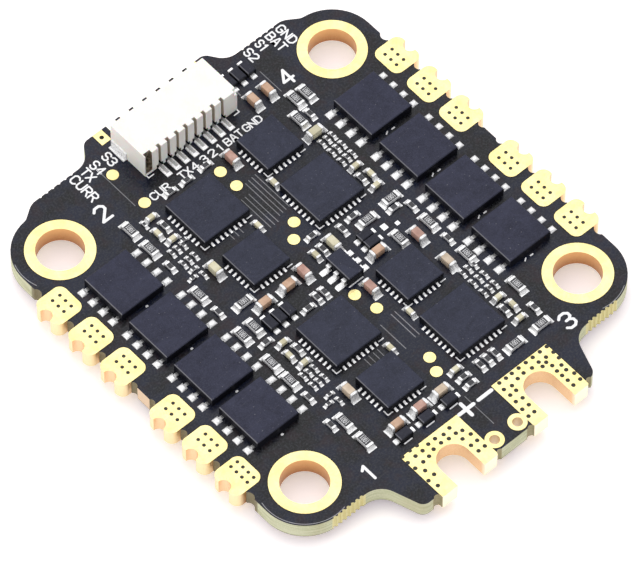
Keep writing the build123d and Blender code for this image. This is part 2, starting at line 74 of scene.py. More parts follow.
def in_scene(name, data):
    """Object that carries the data, linked into the scene."""
    made = bpy.data.objects.new(name, data)
    bpy.context.scene.collection.objects.link(made)
    return made


def looking(heading, elevation, roll=0.0):
    """Rotation of a camera or lamp that looks down along a heading."""
    turn = Matrix.Rotation(math.radians(heading - 90), 4, "Z")
    tilt = Matrix.Rotation(math.radians(90 - elevation), 4, "X")
    return turn @ tilt @ Matrix.Rotation(math.radians(roll), 4, "Z")


def behind(target, heading, elevation, distance):
    """Point at a distance from the target, looking at it along the heading."""
    flat = math.cos(math.radians(elevation)) * distance
    return Vector((target[0] - flat * math.cos(math.radians(heading)),
                   target[1] - flat * math.sin(math.radians(heading)),
                   target[2] + math.sin(math.radians(elevation)) * distance))


def make_camera():
    data = bpy.data.cameras.new("camera")
    data.lens = LENS
    data.sensor_width = 36
    data.clip_start = 0.05
    data.clip_end = 20
    camera = in_scene("camera", data)
    spot = behind(CAMERA_TARGET, CAMERA_HEADING, CAMERA_ELEVATION, CAMERA_DISTANCE)
    turn = looking(CAMERA_HEADING, CAMERA_ELEVATION, CAMERA_ROLL)
    camera.matrix_world = Matrix.Translation(spot * MM) @ turn
    bpy.context.scene.camera = camera


def softbox(name, heading, elevation, distance, size, power, colour=(1, 1, 1)):
    data = bpy.data.lights.new(name, "AREA")
    data.shape = "RECTANGLE"
    data.size = size[0] * MM
    data.size_y = size[1] * MM
    data.energy = power
    data.color = colour
    lamp = in_scene(name, data)
    spot = behind((0, 0, 0), heading, elevation, distance)
    lamp.matrix_world = Matrix.Translation(spot * MM) @ looking(heading, elevation)


def make_light():
    world = bpy.data.worlds.new("studio")
    bpy.context.scene.world = world
    world.use_nodes = True
    backdrop = world.node_tree.nodes["Background"]
    backdrop.inputs["Color"].default_value = (0.985, 0.985, 1.0, 1)
    backdrop.inputs["Strength"].default_value = 0.78
    softbox("overhead", -130, 66, 620, (620, 620), 1.45)
    softbox("left_window", -20, 38, 700, (300, 300), 0.75, (1.0, 0.97, 0.94))
    bpy.context.scene.view_settings.view_transform = "Standard"


# ---- node materials ----
class Surface:
    """A principled material under construction; its textures read positions in millimetres."""

    def __init__(self, name, **sockets):
        self.material = bpy.data.materials.new(name)
        self.material.use_nodes = True
        self.tree = self.material.node_tree
        self.shader = self.tree.nodes["Principled BSDF"]
        for key, value in sockets.items():
            self.shader.inputs[key.replace("_", " ")].default_value = value
        place = self.node("ShaderNodeTexCoord").outputs["Object"]
        scale = self.node("ShaderNodeVectorMath", operation="SCALE")
        scale.inputs["Scale"].default_value = 1 / MM
        self.tree.links.new(place, scale.inputs[0])
        self.place = scale.outputs["Vector"]
        self.x, self.y, self.z = (self.axis(self.place, which) for which in "XYZ")

    def node(self, kind, **settings):
        made = self.tree.nodes.new(kind)
        for key, value in settings.items():
            setattr(made, key, value)
        return made

    def stretched(self, factors):
        """Positions stretched by a factor along each axis."""
        multiply = self.node("ShaderNodeVectorMath", operation="MULTIPLY")
        self.tree.links.new(self.place, multiply.inputs[0])
        multiply.inputs[1].default_value = factors
        return multiply.outputs["Vector"]

    def noise(self, scale, detail=3.0, roughness=0.55, place=None, distortion=0.0):
        made = self.node("ShaderNodeTexNoise")
        made.inputs["Scale"].default_value = scale
        made.inputs["Detail"].default_value = detail
        made.inputs["Roughness"].default_value = roughness
        made.inputs["Distortion"].default_value = distortion
        self.tree.links.new(place or self.place, made.inputs["Vector"])
        return made.outputs["Fac"]

    def axis(self, source, which):
        split = self.node("ShaderNodeSeparateXYZ")
        self.tree.links.new(source, split.inputs[0])
        return split.outputs[which]

    def normal(self, which):
        """One component of the surface normal in the part's frame."""
        return self.axis(self.node("ShaderNodeNewGeometry").outputs["Normal"], which)

    def within(self, source, low, high):
        """One where a value lies in a range, and zero elsewhere."""
        return self.product(self.math("GREATER_THAN", source, low), self.below(source, high))

    def product(self, *factors):
        """Factors multiplied together; of places, the part that all of them share."""
        result = factors[0]
        for factor in factors[1:]:
            result = self.math("MULTIPLY", result, factor)
        return result

    def unsigned(self, source):
        return self.math("ABSOLUTE", source, 0.0)

    def below(self, source, limit):
        return self.math("LESS_THAN", source, limit)

    def span(self, source, low, high, new_low=0.0, new_high=1.0):
        made = self.node("ShaderNodeMapRange")
        self.tree.links.new(source, made.inputs["Value"])
        for name, value in (("From Min", low), ("From Max", high), ("To Min", new_low), ("To Max", new_high)):
            made.inputs[name].default_value = value
        return made.outputs["Result"]

    def math(self, operation, first, second):
        made = self.node("ShaderNodeMath", operation=operation)
        for slot, value in ((0, first), (1, second)):
            if isinstance(value, (int, float)):
                made.inputs[slot].default_value = value
            else:
                self.tree.links.new(value, made.inputs[slot])
        return made.outputs[0]

    def blend(self, factor, first, second):
        """Colour between two colours or colour outputs."""
        made = self.node("ShaderNodeMix", data_type="RGBA")
        self.tree.links.new(factor, made.inputs[0])
        for slot, value in ((6, first), (7, second)):
            if isinstance(value, tuple):
                made.inputs[slot].default_value = (*value, 1)
            else:
                self.tree.links.new(value, made.inputs[slot])
        return made.outputs[2]

    def shade(self, source, low, high, first, second, share=1.0):
        """First colour, giving way to a share of the second as a value rises through a range."""
        return self.blend(self.span(source, low, high, 0.0, share), first, second)

    def colour(self, source):
        self.tree.links.new(source, self.shader.inputs["Base Color"])

    def bump(self, height, distance):
        """Bump whose height of one stands for the distance in millimetres."""
        made = self.node("ShaderNodeBump")
        made.inputs["Distance"].default_value = distance * MM
        made.inputs["Strength"].default_value = 1.0
        self.tree.links.new(height, made.inputs["Height"])
        self.tree.links.new(made.outputs["Normal"], self.shader.inputs["Normal"])

    def finish(self, texture, low, high, height, distance):
        """Material with its roughness between two values along a texture, and its bump."""
        rough = self.span(texture, 0.3, 0.7, low, high)
        self.tree.links.new(rough, self.shader.inputs["Roughness"])
        self.bump(height, distance)
        return self.material


SCALLOP_TONE = (0.80, 0.70, 0.32)
PEACH_TONE = (0.85, 0.64, 0.45)
NOTCH_TONE = (0.30, 0.24, 0.12)
# stretches of the board's edge with another tone: tone, range along X, range along Y, share
LAMINATE_EDGE_TONES = [(SCALLOP_TONE, x_range, (-20.0, -19.0), 0.7) for x_range in ((-15.9, -12.3), (12.3, 15.9))]
LAMINATE_EDGE_TONES += [(SCALLOP_TONE, x_range, (20.2, 20.6), 0.7) for x_range in ((-13.3, -9.3), (9.3, 13.3))]
LAMINATE_EDGE_TONES += [(PEACH_TONE, x_range, (-0.75, 0.75), 0.85) for x_range in ((-20.0, -19.2), (19.2, 20.0))]
# darker in the small notches beside the battery pads
LAMINATE_EDGE_TONES += [(NOTCH_TONE, x_range, (-24.0, -23.2), 0.7)
                    for x_range in ((-8.55, -7.7), (-1.75, -1.05), (1.75, 2.42), (8.4, 9.15))]
RESIN_TONE = (0.02, 0.018, 0.012)      # bare board in the gap between a pad and the lacquer


def laminate_material():
    """Routed glass fibre board: pale olive edge with faint plies, dark in the notches and on its faces."""
    surface = Surface("laminate", Specular_IOR_Level=0.35)
    plies = surface.noise(1.0, 2.0, 0.5, surface.stretched((0.25, 0.25, 7.0)))
    fibres = surface.noise(1.0, 3.0, 0.7, surface.stretched((9.0, 9.0, 3.0)))
    stain = surface.noise(0.35, 3.0)
    tone = surface.shade(plies, 0.38, 0.62, (0.44, 0.46, 0.27), (0.60, 0.61, 0.42))
    tone = surface.shade(fibres, 0.5, 0.75, tone, (0.76, 0.75, 0.58), 0.55)
    tone = surface.shade(stain, 0.5, 0.7, tone, (0.38, 0.33, 0.17), 0.35)
    beside_tabs = surface.product(surface.span(surface.unsigned(surface.x), 18.9, 19.0),
                                  surface.span(surface.unsigned(surface.y), 14.2, 14.0), 0.85)
    tone = surface.blend(beside_tabs, tone, (0.17, 0.135, 0.075))
    for stretch_tone, x_range, y_range, share in LAMINATE_EDGE_TONES:
        place = surface.product(surface.within(surface.x, *x_range), surface.within(surface.y, *y_range))
        tone = surface.blend(surface.product(place, share), tone, stretch_tone)
    flat = surface.span(surface.unsigned(surface.normal("Z")), 0.5, 0.9)
    surface.colour(surface.blend(flat, tone, RESIN_TONE))
    return surface.finish(fibres, 0.6, 0.85, surface.math("ADD", plies, fibres), 0.03)


def mask_material(name, tone, blue_tone, warm_tone):
    """Black solder mask: thin lacquer with bluish and brownish clouds, uneven over the weave of the cloth."""
    surface = Surface(name, Specular_IOR_Level=0.24)
    cloud = surface.noise(0.3, 4.0, 0.6)
    patches = surface.noise(0.75, 3.0, 0.6, distortion=0.8)
    grain = surface.noise(5.5, 3.0, 0.65)
    mixed = surface.shade(cloud, 0.42, 0.58, tone, blue_tone)
    mixed = surface.shade(patches, 0.5, 0.7, mixed, warm_tone, 0.8)
    pale = tuple(0.5 * part + 0.035 for part in blue_tone)
    surface.colour(surface.shade(grain, 0.46, 0.66, mixed, pale, 0.7))
    height = surface.math("ADD", surface.noise(2.2, 4.0), surface.product(grain, 0.4))
    return surface.finish(patches, 0.22, 0.36, height, 0.02)


TAB_ROW = 3.08                 # distance of the first row of motor tabs from the middle
TAB_STEP = 4.02                # and from one row to the next
HOLE_ZONE = 12.5               # round a mounting hole both distances from the middle are larger than this
SENSE_ZONE = (2.7, 19.0)       # a sense ring lies nearer the middle along X and further along Y than this
HOUSING_X = (-4.7, 5.6)        # pads that stand right behind the connector
HOUSING_Y = (20.7, 22.3)


def gold_material():
    """Soft gold over copper: pale flats, yellow outer edges that are paler at the front as a painted
    reflection, and orange in the tabs' bites and on inner walls as painted shade, darker towards the bottom
    of each mounting hole.
    """
    surface = Surface("gold_plating", Metallic=1.0)
    flat = surface.span(surface.unsigned(surface.normal("Z")), 0.45, 0.9)
    grain = surface.noise(7.0, 4.0, 0.6)
    pits = surface.noise(19.0, 2.0)
    cloud = surface.noise(0.8, 3.0)
    pale = surface.shade(cloud, 0.35, 0.65, (0.84, 0.70, 0.31), (0.87, 0.76, 0.39))
    pale = surface.shade(pits, 0.62, 0.72, pale, (0.66, 0.50, 0.19), 0.5)
    # mounting-hole barrels: orange and darker towards the bottom, painted shade
    barrel_painted_shade = surface.shade(surface.z, 0.1, 1.6, (0.40, 0.17, 0.06), (0.88, 0.52, 0.21))
    barrel_painted_shade = surface.shade(grain, 0.35, 0.65, barrel_painted_shade, (0.80, 0.50, 0.26), 0.3)
    # walls of the tabs and pads, more orange than the flats: painted shade
    pale_wall = surface.shade(grain, 0.35, 0.65, (0.86, 0.58, 0.32), (0.93, 0.70, 0.44))
    across = surface.unsigned(surface.x)
    along = surface.unsigned(surface.y)
    from_row = surface.math("PINGPONG", surface.math("SUBTRACT", along, TAB_ROW), TAB_STEP / 2)
    in_corner = surface.math("GREATER_THAN", surface.math("MINIMUM", across, along), HOLE_ZONE)
    walls_with_painted_light = surface.blend(in_corner, pale_wall, barrel_painted_shade)
    in_sense_ring = surface.product(surface.below(across, SENSE_ZONE[0]),
                                    surface.math("GREATER_THAN", along, SENSE_ZONE[1]))
    walls_with_painted_light = surface.blend(in_sense_ring, walls_with_painted_light, (1.0, 0.88, 0.68))
    # outer edges more orange in the tabs' bites: painted shade
    edge_painted_light = surface.shade(from_row, 0.6, 0.68, (0.93, 0.66, 0.40), (0.92, 0.78, 0.47))
    edge = surface.math("MAXIMUM", surface.span(across, 19.5, 20.0), surface.span(along, 23.3, 23.9))
    # front faces of the battery pads paler: a painted reflection of the floor
    edge_painted_light = surface.shade(along, 23.4, 23.6, edge_painted_light, (0.98, 0.93, 0.74))
    walls_with_painted_light = surface.blend(edge, walls_with_painted_light, edge_painted_light)
    by_housing = surface.product(surface.within(surface.x, *HOUSING_X), surface.within(surface.y, *HOUSING_Y))
    pale = surface.blend(by_housing, pale, (0.97, 0.94, 0.80))
    surface.colour(surface.blend(flat, walls_with_painted_light, pale))
    return surface.finish(grain, 0.3, 0.52, grain, 0.012)


def plug_material():
    """Resin plug at the bottom of a via, nearly black with amber clouds."""
    surface = Surface("via_plug", Roughness=0.5)
    surface.colour(surface.shade(surface.noise(9.0), 0.4, 0.6, (0.004, 0.004, 0.003), (0.02, 0.015, 0.006)))
    surface.bump(surface.noise(16.0), 0.01)
    return surface.material


def mould_material(name, tone, light_tone):
    """Epoxy moulding: matt slate with clouds, specks and faint scratches, painted shade on its sides and a
    painted highlight along its left edge.
    """
    surface = Surface(name, Specular_IOR_Level=0.22)
    grain = surface.noise(11.0, 4.0, 0.7)
    specks = surface.noise(5.0, 2.0, 0.4)
    cloud = surface.noise(0.6, 5.0, 0.68, distortion=0.8)
    rubbed = surface.noise(1.0, 2.0, 0.5, surface.stretched((0.6, 13.0, 1.0)), 1.4)
    mixed = surface.shade(cloud, 0.36, 0.64, tone, light_tone)
    mixed = surface.shade(grain, 0.45, 0.75, mixed, tuple(1.9 * part for part in light_tone), 0.55)
    mixed = surface.shade(rubbed, 0.69, 0.74, mixed, (0.12, 0.12, 0.14), 0.3)
    mixed = surface.shade(specks, 0.70, 0.75, mixed, (0.20, 0.20, 0.22), 0.55)
    upward = surface.normal("Z")
    # sides darkened to three tenths of the tone: painted shade
    top = surface.span(surface.unsigned(upward), 0.3, 0.8)
    mixed = surface.blend(top, tuple(0.3 * part for part in tone), mixed)
    # left-facing chamfer lightened: a painted highlight
    edge_painted_highlight = surface.product(surface.within(upward, 0.4, 0.9), surface.below(surface.normal("X"), -0.3))
    surface.colour(surface.blend(edge_painted_highlight, mixed, (0.16, 0.16, 0.18)))
    return surface.finish(cloud, 0.5, 0.68, grain, 0.015)


def tin_material(name, tone, metallic, low, high):
    """Tin and solder: bright grey metal with frosted grains and small ripples."""
    surface = Surface(name, Metallic=metallic)
    frost = surface.noise(8.0, 4.0, 0.65)
    ripple = surface.noise(2.8, 2.0)
    dull = tuple(0.76 * part for part in tone)
    surface.colour(surface.shade(frost, 0.36, 0.56, dull, tone))
    height = surface.math("ADD", ripple, surface.product(frost, 0.4))
    return surface.finish(frost, low, high, height, 0.035)


# openings in the connector's face, where the nylon is painted darker as shade: half width or X range, then Y
# range, then height over the board
LEG_ROW = 3.9                  # the legs lie within this distance of the middle
LEG_PITCH = 1.0
LEG_SLOT = (0.155, (16.03, 16.36))
LEG_OPENING = (0.36, (16.03, 17.25), 0.46)
CORNER_RECESS = ((-5.055, -4.345), (16.03, 17.05), 2.25)


def nylon_material():
    """Cream moulded nylon, faintly translucent, with painted shade in its slots and corner recess and a
    near-black painted shadow in its openings.
    """
    surface = Surface("connector_nylon", Subsurface_Weight=0.25, Subsurface_Scale=0.4 * MM,
                      Specular_IOR_Level=0.45)
    cloud = surface.noise(0.6, 3.0)
    grain = surface.noise(15.0, 3.0)
    tone = surface.shade(cloud, 0.3, 0.7, (0.93, 0.89, 0.83), (0.965, 0.94, 0.895))
    from_leg = surface.math("PINGPONG", surface.math("SUBTRACT", surface.x, LEG_PITCH / 2), LEG_PITCH / 2)
    by_legs = surface.within(surface.x, -LEG_ROW, LEG_ROW)
    half, depth = LEG_SLOT
    shallow = surface.within(surface.y, *depth)
    slots = surface.product(surface.below(from_leg, half), by_legs, shallow)
    half, depth, height = LEG_OPENING
    openings = surface.product(surface.below(from_leg, half), by_legs, surface.within(surface.y, *depth),
                               surface.below(surface.z, TOP + height))
    sides, depth, height = CORNER_RECESS
    pocket = surface.product(surface.within(surface.y, *depth), surface.below(surface.z, TOP + height))
    recess = surface.product(surface.within(surface.x, *sides), surface.math("MAXIMUM", shallow, pocket))
    # mottled dark brown in the corner recess: painted shade
    recess_painted_shade = surface.shade(surface.noise(3.0), 0.42, 0.62, (0.10, 0.075, 0.05), (0.40, 0.34, 0.25))
    # slots a little darker as painted shade, openings near black as painted shadow
    tone = surface.blend(slots, tone, (0.54, 0.48, 0.40))
    tone = surface.blend(openings, tone, (0.04, 0.035, 0.03))
    surface.colour(surface.blend(recess, tone, recess_painted_shade))
    return surface.finish(grain, 0.38, 0.55, grain, 0.01)


def ceramic_material(name, tone, light_tone):
    """Sintered ceramic of a capacitor, with the fine lines of its stacked layers on the sides."""
    surface = Surface(name, Specular_IOR_Level=0.5)
    cloud = surface.noise(1.3, 3.0)
    grain = surface.noise(12.0, 3.0, 0.7)
    layers = surface.noise(1.0, 1.0, 0.5, surface.stretched((0.5, 0.5, 24.0)))
    tinted = surface.shade(cloud, 0.35, 0.65, tone, light_tone)
    dark = tuple(0.72 * part for part in tone)
    tinted = surface.shade(layers, 0.5, 0.66, tinted, dark, 0.5)
    surface.colour(surface.shade(grain, 0.62, 0.75, tinted, (0.75, 0.68, 0.58), 0.4))
    return surface.finish(grain, 0.4, 0.6, grain, 0.012)


def alumina_material():
    """White ceramic body of a chip resistor, showing along the sides of its glaze."""
    surface = Surface("resistor_alumina", Specular_IOR_Level=0.5)
    grain = surface.noise(10.0, 3.0, 0.7)
    surface.colour(surface.shade(grain, 0.4, 0.65, (0.46, 0.46, 0.47), (0.80, 0.80, 0.81)))
    return surface.finish(grain, 0.45, 0.65, grain, 0.012)


def glaze_material():
    """Black glass glaze of a chip resistor."""
    surface = Surface("resistor_glaze", Specular_IOR_Level=0.5)
    cloud = surface.noise(1.6, 3.0)
    surface.colour(surface.shade(cloud, 0.35, 0.65, (0.012, 0.012, 0.016), (0.03, 0.03, 0.038)))
    return surface.finish(surface.noise(10.0), 0.25, 0.45, cloud, 0.02)


def ink_material(name, thin_tone, full_tone):
    """White screen-printed ink, thin enough to show what lies under it here and there."""
    surface = Surface(name, Specular_IOR_Level=0.3)
    cover = surface.noise(9.0, 4.0, 0.7)
    surface.colour(surface.shade(cover, 0.28, 0.42, thin_tone, full_tone))
    return surface.finish(cover, 0.55, 0.75, cover, 0.008)


def strip_material():
    """Metal strip of a shunt: brushed along its length."""
    surface = Surface("shunt_strip", Metallic=1.0)
    brushed = surface.noise(1.0, 3.0, 0.6, surface.stretched((0.8, 26.0, 26.0)))
    surface.colour(surface.shade(brushed, 0.35, 0.65, (0.26, 0.25, 0.24), (0.42, 0.40, 0.38)))
    return surface.finish(brushed, 0.35, 0.55, brushed, 0.01)


def floor_material():
    """White light table: its own glow keeps the shadows pale and faintly pink."""
    surface = Surface("floor", Specular_IOR_Level=0.0, Roughness=1.0, Emission_Color=(1.0, 0.87, 0.92, 1),
                      Emission_Strength=0.34)
    paper = surface.noise(0.05, 3.0)
    surface.colour(surface.shade(paper, 0.3, 0.7, (0.93, 0.925, 0.92), (0.95, 0.945, 0.94)))
    return surface.material


# ---- mesh building ----
SUNK = 0.012                   # how far a piece's foot stands in what carries it
STROKE_STEP = 0.003
_box_shapes = {}


def rounded_box(size, radius):
    """Points and faces of a box with rounded edges, centred on its middle."""
    key = (*[round(value, 4) for value in size], round(radius, 4))
    if key not in _box_shapes:
        mesh = bmesh.new()
        bmesh.ops.create_cube(mesh, size=1)
        bmesh.ops.scale(mesh, vec=size, verts=mesh.verts)
        bmesh.ops.bevel(mesh, geom=mesh.edges[:], offset=radius, segments=2, profile=0.5, affect="EDGES")
        mesh.verts.index_update()
        points = [vertex.co.copy() for vertex in mesh.verts]
        faces = [[vertex.index for vertex in face.verts] for face in mesh.faces]
        _box_shapes[key] = (points, faces)
        mesh.free()
    return _box_shapes[key]


class Shape:
    """Closed lumps gathered in millimetres, made into one object at the end."""

    def __init__(self):
        self.points = []
        self.faces = []
        self.strokes = 0

    def add(self, points, faces, place=Matrix()):
        first = len(self.points)
        self.points += [place @ Vector(point) for point in points]
        self.faces += [[first + index for index in face] for face in faces]

    def block(self, place, size, radius):
        """Rounded block standing on the place."""
        points, faces = rounded_box(size, radius)
        self.add(points, faces, place @ Matrix.Translation((0, 0, size[2] / 2)))

    def prism(self, outline, low, high):
        """Upright prism on an outline that runs anticlockwise."""
        count = len(outline)
        points = [(x, y, low) for x, y in outline] + [(x, y, high) for x, y in outline]
        faces = [list(range(count))[::-1], list(range(count, 2 * count))]
        for index in range(count):
            after = (index + 1) % count
            faces.append([index, after, count + after, count + index])
        self.add(points, faces)

    def heap(self, place, along, across, height):
        """Lump of solder on a flat foot, its top at height(a, b) over a grid."""
        rows = len(along)
        columns = len(across)
        top = [(a, b, height(a, b)) for a in along for b in across]
        foot = [(a, b, -SUNK) for a in along for b in across]
        size = rows * columns
        faces = []
        for i in range(rows - 1):
            for j in range(columns - 1):
                corner = i * columns + j
                quad = [corner, corner + columns, corner + columns + 1, corner + 1]
                faces.append(quad)
                faces.append([size + index for index in reversed(quad)])
        rim = list(range(columns))
        rim += [i * columns + columns - 1 for i in range(1, rows)]
        rim += [(rows - 1) * columns + j for j in range(columns - 2, -1, -1)]
        rim += [i * columns for i in range(rows - 2, 0, -1)]
        for index, corner in enumerate(rim):
            after = rim[(index + 1) % len(rim)]
            faces.append([corner, after, size + after, size + corner])
        self.add(top + foot, faces, place)

    def ribbon(self, points, width, low, high):
        """Line drawn with a round pen, broken at sharp turns; crossing lines differ a little in height."""
        for run in smooth_runs(points):
            self.strokes += 1
            step = (self.strokes % 4) * STROKE_STEP
            self.prism(pen_outline(run, width / 2), low - SUNK, high + step)

    def piece(self, name, material, slot, smooth=35, replaced=()):
        """Object made of the lumps, riding on the board."""
        mesh = bpy.data.meshes.new(name)
        mesh.from_pydata([point * MM for point in self.points], [], self.faces)
        mesh.validate()
        for polygon in mesh.polygons:
            polygon.use_smooth = True
        mesh.set_sharp_from_angle(angle=math.radians(smooth))
        made = in_scene(name, mesh)
        mesh.materials.append(material)
        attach(made, "root")
        if replaced:
            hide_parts(*replaced)
        return made


def heading(start, end):
    return math.atan2(end[1] - start[1], end[0] - start[0])


def smooth_runs(points):
    """Parts of a line between turns of more than 80 degrees."""
    runs = [[points[0]]]
    for before, point, after in zip(points, points[1:], points[2:]):
        turn = heading(point, after) - heading(before, point)
        turn = (turn + math.pi) % (2 * math.pi) - math.pi
        runs[-1].append(point)
        if abs(turn) > math.radians(80):
            runs.append([point])
    runs[-1].append(points[-1])
    return runs


def polar(centre, radius, angle):
    return (centre[0] + radius * math.cos(angle), centre[1] + radius * math.sin(angle))


def fan(centre, radius, start, end, steps):
    return [polar(centre, radius, start + (end - start) * i / steps) for i in range(steps + 1)]


def pen_outline(points, half):
    """Anticlockwise outline of a line with round ends and round outer corners."""
    quarter = math.pi / 2
    headings = [heading(a, b) for a, b in zip(points, points[1:])]
    right = [polar(points[0], half, headings[0] - quarter)]
    left = [polar(points[0], half, headings[0] + quarter)]
    for point, before, after in zip(points[1:], headings, headings[1:]):
        turn = (after - before + math.pi) % (2 * math.pi) - math.pi
        inner = half / math.cos(turn / 2)
        middle = before + turn / 2
        if turn > 0:
            right += fan(point, half, before - quarter, before + turn - quarter, 2)
            left.append(polar(point, inner, middle + quarter))
        else:
            left += fan(point, half, before + quarter, before + turn + quarter, 2)
            right.append(polar(point, inner, middle - quarter))
    end_cap = fan(points[-1], half, headings[-1] - quarter, headings[-1] + quarter, 6)
    start_cap = fan(points[0], half, headings[0] + quarter, headings[0] + 3 * quarter, 6)
    return right + end_cap + left[::-1][:-1] + start_cap[:-1]


def standing(x, y, z, towards=(1, 0)):
    """Place on the board whose own X axis points towards a direction."""
    return Matrix.Translation((x, y, z)) @ Matrix.Rotation(math.atan2(towards[1], towards[0]), 4, "Z")


# ---- what the frame holds ----
def solids(node):
    """Lowest and highest corner of each separate solid of a CAD node, front to back."""
    mesh = NODES[node].data
    owner = {}

    def head(key):
        while owner[key] != key:
            owner[key] = owner[owner[key]]
            key = owner[key]
        return key

    keys = [tuple(round(value / MM, 3) for value in vertex.co) for vertex in mesh.vertices]
    for key in keys:
        owner[key] = key
    for polygon in mesh.polygons:
        first = keys[polygon.vertices[0]]
        for index in polygon.vertices[1:]:
            owner[head(keys[index])] = head(first)
    groups = {}
    for key in owner:
        groups.setdefault(head(key), []).append(key)
    boxes = []
    for points in groups.values():
        low = Vector([min(point[i] for point in points) for i in range(3)])
        high = Vector([max(point[i] for point in points) for i in range(3)])
        boxes.append((low, high))
    return sorted(boxes, key=lambda pair: (round(pair[0].y, 2), round(pair[0].x, 2)))


def middle_of(pair):
    return (pair[0] + pair[1]) / 2


END_WIDER = 1.08               # CAD end of a chip against its visible end cap


def chip_places(body_node, end_node):
    """Middle, direction, half length, end length, width and height of each two-ended chip."""
    ends = solids(end_node)
    centres = [middle_of(pair).xy for pair in ends]
    places = []
    for pair in solids(body_node):
        centre = middle_of(pair).xy
        near = sorted(range(len(ends)), key=lambda i: (centres[i] - centre).length)[:2]
        apart = centres[near[0]] - centres[near[1]]
        low, high = ends[near[0]]
        along = 0 if abs(apart.x) > abs(apart.y) else 1
        direction = (1, 0) if along == 0 else (0, 1)
        size = high - low
        width = size[1 - along] / END_WIDER
        places.append((centre, direction, apart.length / 2, size[along] / 2, width, size.z))
    return places


# ---- materials ----
LAMINATE = laminate_material()
MASK = mask_material("solder_mask", (0.001, 0.001, 0.002), (0.005, 0.008, 0.024), (0.020, 0.010, 0.014))
# lacquer over the tracks, lighter than the bare lacquer: partly the copper under it, partly a painted sheen
# on the ridges
MASK_OVER_COPPER_AND_SHEEN = mask_material("mask_over_copper_and_painted_sheen", (0.18, 0.18, 0.19), (0.26, 0.26, 0.28), (0.24, 0.22, 0.23))
# lacquer lightened to grey for the painted glint along the lobe rims
MASK_PAINTED_GLINT = mask_material("mask_painted_glint", (0.28, 0.28, 0.29), (0.38, 0.38, 0.40), (0.34, 0.31, 0.33))
GOLD = gold_material()
PLUG = plug_material()
MOSFET_MOULD = mould_material("mosfet_mould", (0.016, 0.017, 0.034), (0.034, 0.036, 0.062))
CHIP_MOULD = mould_material("chip_mould", (0.017, 0.019, 0.034), (0.034, 0.037, 0.060))
DIODE_MOULD = mould_material("diode_mould", (0.014, 0.015, 0.024), (0.028, 0.029, 0.042))
SOLDER = tin_material("solder", (1.0, 1.0, 1.0), 0.4, 0.2, 0.42)
TIN = tin_material("tinned_lead", (0.97, 0.97, 0.97), 0.6, 0.25, 0.45)
TAB_TIN = tin_material("tab_tin", (1.0, 1.0, 1.0), 0.1, 0.35, 0.5)
CONTACT_TIN = tin_material("contact_tin", (0.50, 0.50, 0.50), 0.8, 0.3, 0.5)
NYLON = nylon_material()
BROWN_CERAMIC = ceramic_material("brown_ceramic", (0.50, 0.30, 0.19), (0.64, 0.43, 0.30))
PINK_CERAMIC = ceramic_material("pink_ceramic", (0.44, 0.24, 0.19), (0.60, 0.38, 0.31))
BEIGE_CERAMIC = ceramic_material("beige_ceramic", (0.56, 0.44, 0.32), (0.70, 0.58, 0.45))
CREAM_CERAMIC = ceramic_material("cream_ceramic", (0.60, 0.55, 0.36), (0.74, 0.70, 0.52))
ALUMINA = alumina_material()
GLAZE = glaze_material()
INK = ink_material("white_ink", (0.55, 0.56, 0.58), (0.93, 0.93, 0.94))
VALUE_INK = ink_material("value_ink", (0.38, 0.38, 0.39), (0.66, 0.66, 0.67))
STRIP = strip_material()


def dress(material, *names):
    """Gives CAD nodes their material."""
    for name in names:
        slots = NODES[name].data.materials
        slots.clear()
        slots.append(material)


def soften(name, width):
    """Breaks the sharp edges of a CAD node with a small round."""
    weld = NODES[name].modifiers.new("weld", "WELD")
    weld.merge_threshold = 0.0001 * MM
    bevel = NODES[name].modifiers.new("bevel", "BEVEL")
    bevel.width = width * MM
    bevel.segments = 2
    bevel.limit_method = "ANGLE"
    bevel.angle_limit = math.radians(40)
    bevel.harden_normals = True


def dress_board():
    dress(LAMINATE, "circuit_board")
    dress(MASK, "solder_mask_top", "solder_mask_bottom")
    gold = [name for name in NODES if "_pad_" in name or name.startswith("mounting_hole_plating")]
    dress(GOLD, "signal_pads", "test_points", *gold)
    dress(PLUG, "via_plugs")


def dress_packages():
    top_mosfets = [name for name in NODES if name.startswith(("mosfet_left", "mosfet_right"))]
    dress(MOSFET_MOULD, "mosfets_bottom_left", "mosfets_bottom_right", *top_mosfets)
    chips = [name for name in NODES if name.startswith("gate_driver_") or name.startswith("microcontroller_")]
    chips = [name for name in chips if not name.endswith("pins")]
    dress(CHIP_MOULD, "current_sense_amplifier", *chips)
    dress(DIODE_MOULD, "diode_bodies")
    dress(TIN, "small_package_leads")
    dress(TAB_TIN, "connector_solder_tabs")
    dress(CONTACT_TIN, "connector_contacts")
    dress(NYLON, "connector_housing")
    dress(STRIP, "shunt_resistors")
    soften("connector_housing", 0.06)


NUMBERS = (1, 2, 3, 4)         # every large package comes four times

# ---- chip capacitors and resistors ----
# middles of the capacitors that aren't brown: X, Y
PINK_PLACES = ((1.33, 12.44), (-1.79, -0.11), (7.78, -3.7), (1.33, -4.96), (-3.57, -16.36))
CREAM_PLACES = ((1.96, 0.41), (-7.09, 5.01), (8.28, 9.7))
BEIGE_PLACES = ((7.85, -7.3), (-6.85, -11.3), (-1.22, -16.36))
BODY_WIDTH = 0.86              # body of a chip as a share of the width of its ends
CAP_RISE = 0.7                 # how far up an end cap its solder climbs, as a share of the height
FILLET_REACH = 0.6             # how far the solder runs out on its land, as a share of the land
GLAZE_WIDTH = 0.84             # glaze of a resistor as a share of its body's width
GLAZE_DEPTH = 0.22             # and its thickness as a share of the height
CAPACITOR_HEIGHT = 0.94        # body of a chip as a share of the height of its ends
RESISTOR_HEIGHT = 0.84
BODY_LIFT = 0.03               # between a body and the board
SAME_PLACE = 0.4               # a chip this near to a listed place is the one meant


def near_any(centre, places):
    return any((centre - Vector(place)).length < SAME_PLACE for place in places)


